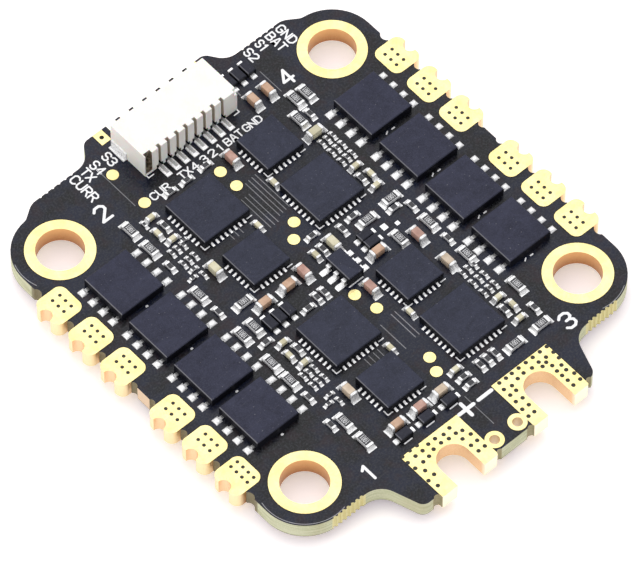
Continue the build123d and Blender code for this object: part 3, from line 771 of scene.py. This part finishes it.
def add_fillet(shape, place, reach, width, rise, foot=0.035):
    """Concave solder fillet against an upright face, running out along the place's X axis."""
    along = [reach * step for step in (-0.12, 0.0, 0.16, 0.36, 0.62, 0.88, 1.0)]
    across = [width * step for step in (-0.5, -0.42, -0.2, 0.2, 0.42, 0.5)]

    def height(a, b):
        out = min(max(a / reach, 0), 1)
        side = 1 - abs(2 * b / width) ** 5
        return foot * (1 - 0.6 * out) + (rise - foot) * (1 - out) ** 2.4 * max(side, 0.0)

    shape.heap(place, along, across, height)


def add_chip(bodies, caps, solder, chip, body_height, glaze=None):
    """Body, end caps and solder of one chip; a resistor's glaze lies on its body."""
    centre, direction, half, end, width, height = chip
    turned = standing(centre.x, centre.y, TOP + BODY_LIFT, direction)
    length = 2 * (half - end) + 0.08
    wide = BODY_WIDTH * width
    tall = body_height * height - BODY_LIFT
    bodies.block(turned, (length, wide, tall), 0.07 * height)
    if glaze:
        above = turned @ Matrix.Translation((0, 0, tall - 0.5 * GLAZE_DEPTH * height))
        glaze.block(above, (length - 0.06, GLAZE_WIDTH * wide, GLAZE_DEPTH * height), 0.05 * height)
    for side in (-1, 1):
        outward = side * Vector(direction)
        middle = centre + outward * (half - end / 2)
        cap = standing(middle.x, middle.y, TOP - SUNK, outward)
        caps.block(cap, (end, width, height + SUNK), 0.24 * height)
        foot = centre + outward * half
        face = standing(foot.x, foot.y, TOP, outward)
        add_fillet(solder, face, end * FILLET_REACH + 0.1, width * 1.12, height * CAP_RISE)


def make_chips():
    caps = Shape()
    solder = Shape()
    families = {"brown": (Shape(), BROWN_CERAMIC), "pink": (Shape(), PINK_CERAMIC),
                "cream": (Shape(), CREAM_CERAMIC), "beige": (Shape(), BEIGE_CERAMIC)}
    for chip in chip_places("capacitor_bodies", "capacitor_terminals"):
        family = "brown"
        for other, places in (("pink", PINK_PLACES), ("cream", CREAM_PLACES), ("beige", BEIGE_PLACES)):
            if near_any(chip[0], places):
                family = other
        add_chip(families[family][0], caps, solder, chip, CAPACITOR_HEIGHT)
    for family, (shape, material) in families.items():
        shape.piece(f"capacitors_{family}", material, "capacitor_ceramic", replaced=["capacitor_bodies"])

    small = Shape()
    for chip in chip_places("small_capacitor_bodies", "small_chip_terminals"):
        add_chip(small, caps, solder, chip, CAPACITOR_HEIGHT)
    small.piece("small_capacitors", CREAM_CERAMIC, "small_capacitor_ceramic",
                replaced=["small_capacitor_bodies"])

    alumina = Shape()
    glaze = Shape()
    marks = Shape()
    for chip in chip_places("resistor_bodies", "resistor_terminals"):
        add_chip(alumina, caps, solder, chip, RESISTOR_HEIGHT, glaze)
        mark_resistor(marks, chip)
    for chip in chip_places("small_resistor_bodies", "small_chip_terminals"):
        add_chip(alumina, caps, solder, chip, RESISTOR_HEIGHT, glaze)
    replaced = ["resistor_bodies", "small_resistor_bodies"]
    alumina.piece("resistor_substrates", ALUMINA, "resistor_body", replaced=replaced)
    glaze.piece("resistor_glazes", GLAZE, "resistor_body", replaced=replaced)
    marks.piece("resistor_marks", VALUE_INK, "white_ink")
    caps.piece("chip_end_caps", TIN, "tinned_metal",
               replaced=["capacitor_terminals", "resistor_terminals", "small_chip_terminals"])
    solder.piece("chip_solder", SOLDER, "tinned_metal")


VALUE = "1001"
VALUE_TALL = 0.4
VALUE_WIDE = 0.62              # width of a figure as a share of the pitch of the figures
VALUE_STROKE = 0.055
VALUE_T = 0.008


def mark_resistor(marks, chip):
    """Generic four-figure value, printed along the glaze."""
    centre, direction, half, end = chip[:4]
    height = chip[5]
    top = TOP + (RESISTOR_HEIGHT + 0.5 * GLAZE_DEPTH) * height
    along = Vector(direction)
    up = VALUE_TALL * Vector((-direction[1], direction[0]))
    pitch = (2 * (half - end) - 0.12) / len(VALUE)
    reading = along * pitch * VALUE_WIDE
    for place, figure in enumerate(VALUE):
        middle = centre + along * pitch * (place - (len(VALUE) - 1) / 2)
        corner = middle - (reading + up) / 2
        draw_figure(marks, figure, corner, reading, up, VALUE_STROKE, top, top + VALUE_T)


# ---- printed marks ----
FIGURE_WIDTH = 4
FIGURE_HEIGHT = 6
# strokes of each figure: points "x,y" from its bottom left corner, with a semicolon between two strokes
FIGURES = {
    "A": "0,0 1.7,6 2.3,6 4,0; 0.75,2.1 3.25,2.1",
    "B": "0,0 0,6 2.8,6 3.8,5.2 3.8,3.9 2.9,3.1 0,3.1; 2.9,3.1 4,2.3 4,0.9 3,0 0,0",
    "C": "4,1.1 2.9,0 1.1,0 0,1.2 0,4.8 1.1,6 2.9,6 4,4.9",
    "D": "0,0 0,6 2.4,6 4,4.4 4,1.6 2.4,0 0,0",
    "G": "4,4.9 2.9,6 1.1,6 0,4.8 0,1.2 1.1,0 2.9,0 4,1.2 4,2.8 2.3,2.8",
    "N": "0,0 0,6 4,0 4,6",
    "R": "0,0 0,6 2.8,6 4,5.1 4,3.9 2.8,3 0,3; 2,3 4,0",
    "S": "0,1 1.1,0 2.9,0 4,0.9 4,2.2 2.9,3 1.1,3 0,3.9 0,5.1 1.1,6 2.9,6 4,5",
    "T": "0,6 4,6; 2,6 2,0",
    "U": "0,6 0,1.2 1.1,0 2.9,0 4,1.2 4,6",
    "X": "0,0 4,6; 0,6 4,0",
    "0": "1.1,0 2.9,0 4,1.2 4,4.8 2.9,6 1.1,6 0,4.8 0,1.2 1.1,0",
    "1": "0.8,4.8 2.2,6 2.2,0",
    "2": "0,4.9 1.1,6 2.9,6 4,5 4,3.9 0,0 4,0",
    "3": "0,5.1 1.1,6 2.9,6 4,5.1 4,3.9 2.9,3.1 1.6,3.1; 2.9,3.1 4,2.2 4,0.9 2.9,0 1.1,0 0,0.9",
    "4": "3,0 3,6 0,1.8 4.2,1.8",
}


def draw_figure(shape, figure, corner, across, up, stroke, low, high):
    """One letter or figure from its bottom left corner, with its width and height as vectors."""
    for line in FIGURES[figure].split(";"):
        points = []
        for point in line.split():
            x, y = (float(part) for part in point.split(","))
            points.append(tuple(corner + across * (x / FIGURE_WIDTH) + up * (y / FIGURE_HEIGHT)))
        shape.ribbon(points, stroke, low, high)


INK_T = 0.015
LABEL_GAP = 0.34               # space between letters, as a share of a letter's width
MOTOR_NUMBERS = {"1": (-10.75, -18.05), "2": (-10.25, 15.65), "3": (11.4, -18.1), "4": (10.4, 15.7)}
NUMBER_SIZE = (1.0, 1.5)
NUMBER_STROKE = 0.25
LABEL_STROKE = 0.15
PIN_LABEL_STROKE = 0.135
# words printed down the rear edge: text, left x, right x, lower y
EDGE_LABELS = (("CURR", -10.15, -9.3, 17.1), ("TX", -8.95, -8.2, 18.75), ("S4", -7.95, -7.1, 18.75),
               ("S3", -6.6, -5.8, 18.75), ("S2", 9.35, 10.15, 18.75), ("S1", 10.65, 11.45, 19.0),
               ("BAT", 11.85, 12.65, 18.0), ("GND", 13.0, 13.8, 17.95))
EDGE_LABEL_Y = 20.0            # where each of them starts
# words printed beside the connector legs: text, left x, right x
PIN_LABELS = (("CUR", -6.15, -4.25), ("TX", -3.0, -1.85), ("4", -1.62, -1.08), ("3", -0.55, -0.05),
              ("2", 0.35, 0.9), ("1", 1.25, 1.75), ("BAT", 2.1, 3.9), ("GND", 4.2, 6.05))
PIN_LABEL_Y = (13.72, 14.42)
CORNER_MARKS = (((-5.0, 16.7), (-5.0, 15.75), (-4.45, 15.75)), ((5.1, 16.3), (5.1, 15.7), (4.55, 15.7)))
CORNER_STROKE = 0.11
CORNER_ARM = 0.5
CORNER_GAP = 0.1               # from a package to its corner mark
POLARITY_Y = -18.9
POLARITY_ARM = 0.7
POLARITY_STROKE = 0.34
# dashes beside the diodes and the amplifier: left x, right x, y
PART_DASHES = ((-6.7, -5.9, -17.98), (-4.25, -3.45, -17.98), (-1.65, -0.85, -17.98), (0.2, 1.7, -3.6))
PART_DASH_STROKE = 0.12
MOSFET_MARK_GAP = 0.25         # from a transistor's front side to the marks before it
# marks before a transistor, from its front left corner: first point, last point, stroke
MOSFET_MARKS = {"left": (((2.46, 0.0), (2.54, 0.0), 0.2),),
                "right": (((1.4, -0.08), (1.65, 0.08), 0.12), ((2.1, 0.0), (2.35, 0.0), 0.14))}


def write(shape, text, start, reading, up, stroke):
    """Text from its bottom left corner, reading along one vector for its whole length."""
    count = len(text)
    letter = reading / (count + (count - 1) * LABEL_GAP)
    for place, figure in enumerate(text):
        corner = start + letter * (place * (1 + LABEL_GAP))
        draw_figure(shape, figure, corner, letter, up, stroke, TOP, TOP + INK_T)


def package_corners(name):
    """Marks at the front corners of a leadless package: an L on the left and a dash on the right."""
    low, high = (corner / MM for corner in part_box(name))
    left, right, front = low.x - CORNER_GAP, high.x + CORNER_GAP, low.y - CORNER_GAP
    return [((left, front + CORNER_ARM), (left, front), (left + CORNER_ARM, front)),
            ((right - CORNER_ARM, front), (right, front))]


def make_print():
    ink = Shape()
    wide, tall = NUMBER_SIZE
    for figure, (x, y) in MOTOR_NUMBERS.items():
        corner = Vector((x - wide / 2, y - tall / 2))
        write(ink, figure, corner, Vector((wide, 0)), Vector((0, tall)), NUMBER_STROKE)
    for text, left, right, lower in EDGE_LABELS:
        reading = Vector((0, lower - EDGE_LABEL_Y))
        write(ink, text, Vector((left, EDGE_LABEL_Y)), reading, Vector((right - left, 0)), LABEL_STROKE)
    for text, left, right in PIN_LABELS:
        start = Vector((left, PIN_LABEL_Y[0]))
        up = Vector((0, PIN_LABEL_Y[1] - PIN_LABEL_Y[0]))
        write(ink, text, start, Vector((right - left, 0)), up, PIN_LABEL_STROKE)
    lines = [(((-1.5, POLARITY_Y), (0.1, POLARITY_Y)), POLARITY_STROKE),
             (((-0.7, POLARITY_Y - POLARITY_ARM), (-0.7, POLARITY_Y + POLARITY_ARM)), POLARITY_STROKE),
             (((0.65, POLARITY_Y), (2.1, POLARITY_Y)), POLARITY_STROKE)]
    marks = list(CORNER_MARKS)
    for number in NUMBERS:
        marks += package_corners(f"microcontroller_{number}")
        marks += package_corners(f"gate_driver_{number}")
    lines += [(mark, CORNER_STROKE) for mark in marks]
    lines += [(((left, y), (right, y)), PART_DASH_STROKE) for left, right, y in PART_DASHES]
    for number in NUMBERS:
        for side, side_marks in MOSFET_MARKS.items():
            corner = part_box(f"mosfet_{side}_{number}")[0] / MM
            x = corner.x
            y = corner.y - MOSFET_MARK_GAP
            for (x1, y1), (x2, y2), stroke in side_marks:
                lines.append((((x + x1, y + y1), (x + x2, y + y2)), stroke))
    for points, stroke in lines:
        ink.ribbon(list(points), stroke, TOP, TOP + INK_T)
    ink.piece("printed_marks", INK, "white_ink")


# ---- solder on the leads ----
def outward_of(pair, packages):
    """Direction from the nearest package to a lead, along X or Y."""
    centre = middle_of(pair)
    offsets = [centre - middle_of(box) for box in packages]
    away = min(offsets, key=lambda offset: max(abs(offset.x), abs(offset.y)))
    if abs(away.x) > abs(away.y):
        return (math.copysign(1, away.x), 0)
    return (0, math.copysign(1, away.y))


def named_boxes(names):
    return [tuple(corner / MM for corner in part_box(name)) for name in names]


def make_leadless_pins(node, packages, name):
    """Tinned pads of a leadless package, each with its solder drawn up the package's side."""
    solder = Shape()
    boxes = named_boxes(packages)
    for pair in solids(node):
        outward = outward_of(pair, boxes)
        size = pair[1] - pair[0]
        length = abs(size.x * outward[0]) + abs(size.y * outward[1])
        width = abs(size.y * outward[0]) + abs(size.x * outward[1])
        centre = middle_of(pair)
        face = standing(centre.x - outward[0] * length / 2, centre.y - outward[1] * length / 2, TOP, outward)
        add_fillet(solder, face, length, width * 0.9, 0.2, 0.09)
    solder.piece(name, SOLDER, "tinned_metal", smooth=60, replaced=[node])


LEAD_NECK = 0.3                # share of a transistor's land that stays bare beside the body


def add_lead_solder(shape, place, length, width):
    """Pillow of solder on the outer part of a transistor's land."""
    start = LEAD_NECK * length
    run = length - start
    along = [start + run * step for step in (0.0, 0.05, 0.16, 0.35, 0.65, 0.84, 0.95, 1.0)]
    across = [width * step for step in (-0.5, -0.44, -0.32, 0.0, 0.32, 0.44, 0.5)]

    def height(a, b):
        out = abs(2 * (a - start) / run - 1)
        side = abs(2 * b / width)
        return 0.03 + 0.17 * (1 - out ** 4) * (1 - side ** 4)

    shape.heap(place, along, across, height)


def make_mosfet_leads(node, packages, name, below):
    """Leads of the transistors: a low neck out of the body into solder on the land; the neck's darker tin is
    partly its own bare metal and partly a painted reflection of the dark body.
    """
    solder = Shape()
    leads = Shape()
    flip = Matrix.Rotation(math.pi, 4, "X")
    for pair in solids(node):
        outward = outward_of(pair, packages)
        length = pair[1].x - pair[0].x
        width = pair[1].y - pair[0].y
        centre = middle_of(pair)
        x = centre.x - outward[0] * length / 2
        place = standing(x, centre.y, TOP, outward)
        if below:
            place = standing(x, centre.y, BOTTOM, outward) @ flip
        add_lead_solder(solder, place, length, width)
        neck = place @ Matrix.Translation((length * 0.22, 0, -SUNK))
        leads.block(neck, (length * 0.5, width * 0.52, 0.11), 0.03)
    solder.piece(f"{name}_solder", SOLDER, "tinned_metal", smooth=60, replaced=[node])
    leads.piece(name, CONTACT_TIN, "tinned_metal", replaced=[node])


def add_leg_solder(shape, place, length, width):
    """Solder of a connector leg: a ridge along each side of the leg, joined round its end."""
    along = [length * step for step in (0.0, 0.3, 0.6, 0.74, 0.88, 0.97, 1.0)]
    across = [width * step for step in (-0.5, -0.44, -0.34, -0.22, 0.0, 0.22, 0.34, 0.44, 0.5)]

    def height(a, b):
        out = min(max(a / length - 0.6, 0) / 0.4, 1)
        side = max(1 - abs(2 * b / width) ** 4, 0.0)
        return 0.05 + 0.12 * (1 - out ** 2) * side

    shape.heap(place, along, across, height)


def make_joints():
    """Solder round the connector's legs, its side tabs and the small packages."""
    solder = Shape()
    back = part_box("connector_housing")[0].y / MM
    for low, high in solids("connector_contacts"):
        place = standing((low.x + high.x) / 2, back - 0.05, TOP, (0, -1))
        add_leg_solder(solder, place, back - 0.05 - low.y, high.x - low.x)
    for low, high in solids("connector_solder_tabs"):
        side = -1 if low.x < 0 else 1
        middle = (low.x + high.x) / 2
        place = standing(middle - side * 0.06, (low.y + high.y) / 2, TOP, (side, 0))
        add_fillet(solder, place, 0.26, high.y - low.y, 0.55, 0.1)
    for pair in solids("small_package_leads"):
        size = pair[1] - pair[0]
        centre = middle_of(pair)
        place = standing(centre.x, centre.y, TOP - SUNK)
        solder.block(place, (size.x + 0.08, size.y + 0.08, 0.07 + SUNK), 0.03)
    solder.piece("joint_solder", SOLDER, "tinned_metal", smooth=60)


LOOSE_PADS = ((-0.45, -1.15, 0.75, 0.5), (-0.45, -2.15, 0.75, 0.5), (-0.45, -3.1, 0.75, 0.5),
              (2.4, -1.2, 0.5, 0.4), (2.4, -3.1, 0.5, 0.4), (6.35, -1.1, 0.55, 0.6), (7.45, -1.55, 0.4, 0.4))


def make_loose_pads():
    """Bare tinned lands beside the small packages."""
    pads = Shape()
    for x, y, length, width in LOOSE_PADS:
        pads.block(standing(x, y, TOP - SUNK), (length, width, 0.06 + SUNK), 0.028)
    pads.piece("tinned_lands", SOLDER, "tinned_metal")


# ---- copper under the lacquer with a painted sheen, and a painted glint along the lacquer's rim ----
TRACE_T = 0.014
LOBE_R = 4.15                  # round corner of the board about a mounting hole
TRACE_GROUPS = (
    # first line's points, number of lines, step between lines, width
    (((-0.7, 5.2), (-0.7, 8.9)), 3, (0.42, 0.0), 0.08),
    (((0.65, 5.6), (0.65, 9.9)), 4, (0.4, 0.05), 0.08),
    (((-0.4, -8.1), (-0.4, -11.2)), 1, (0.4, 0.0), 0.08),
    (((0.95, -7.9), (0.95, -10.9)), 2, (0.42, 0.0), 0.08),
    (((-3.75, 6.35), (-3.75, 7.05)), 3, (0.5, 0.0), 0.08),
    (((-3.65, -10.6), (-3.65, -9.7)), 4, (0.48, 0.0), 0.08),
    (((-7.7, 14.4), (-7.7, 19.6)), 1, (0.4, 0.0), 0.07),
    (((9.15, 14.9), (9.15, 17.6)), 1, (0.4, 0.0), 0.07),
    (((0.05, -21.4), (0.05, -17.9)), 1, (0.4, 0.0), 0.07),
    (((6.3, 17.3), (6.3, 16.9)), 1, (0.4, 0.0), 0.12))
GLINT_INSET = 0.13               # from the round edge of a lobe to the painted glint along its rim
# sides of the hole along X and Y, and the first and last direction of the painted glint in degrees
GLINT_ARCS = ((-1, -1, 168, 282), (-1, 1, 160, 200), (1, -1, 258, 300))


def make_traces():
    """Tracks that show as faint ridges in the lacquer, lighter as a painted sheen, and a painted glint along
    the lacquer's rim round three of the lobes.
    """
    ridges = Shape()
    rim = Shape()
    for points, count, step, width in TRACE_GROUPS:
        for i in range(count):
            moved = [(x + step[0] * i, y + step[1] * i) for x, y in points]
            ridges.ribbon(moved, width, TOP, TOP + TRACE_T)
    hole = middle_of([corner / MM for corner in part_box("mounting_hole_plating_4")])
    # painted glint: light arcs just inside the round edge, on the lobes' front sides
    for side_x, side_y, first, last in GLINT_ARCS:
        centre = (side_x * hole.x, side_y * hole.y)
        arc = fan(centre, LOBE_R - GLINT_INSET, math.radians(first), math.radians(last), 28)
        rim.ribbon(arc, 0.06, TOP, TOP + TRACE_T)
    ridges.piece("copper_tracks", MASK_OVER_COPPER_AND_SHEEN, "solder_mask")
    rim.piece("lobe_painted_glints", MASK_PAINTED_GLINT, "solder_mask")


# ---- floor ----
FLOOR_HALF = 1500              # half the side of the floor


def make_floor():
    level = min(corner[2] for corner in cad_box)
    half = FLOOR_HALF * MM
    corners = [(x * half, y * half, level) for x, y in ((-1, -1), (1, -1), (1, 1), (-1, 1))]
    floor = bpy.data.meshes.new("floor")
    floor.from_pydata(corners, [], [(0, 1, 2, 3)])
    floor.materials.append(floor_material())
    plane = in_scene("floor", floor)


make_camera()
make_light()
make_floor()
dress_board()
dress_packages()
make_chips()
make_print()
for package in ("microcontroller", "gate_driver"):
    make_leadless_pins(f"{package}_pins", [f"{package}_{i}" for i in NUMBERS], f"{package}_solder")
top_boxes = named_boxes([f"mosfet_{side}_{i}" for side in ("left", "right") for i in NUMBERS])
bottom_boxes = solids("mosfets_bottom_left") + solids("mosfets_bottom_right")
make_mosfet_leads("mosfet_leads_top", top_boxes, "mosfet_leads_upper", False)
make_mosfet_leads("mosfet_leads_bottom", bottom_boxes, "mosfet_leads_lower", True)
make_joints()
make_loose_pads()
make_traces()
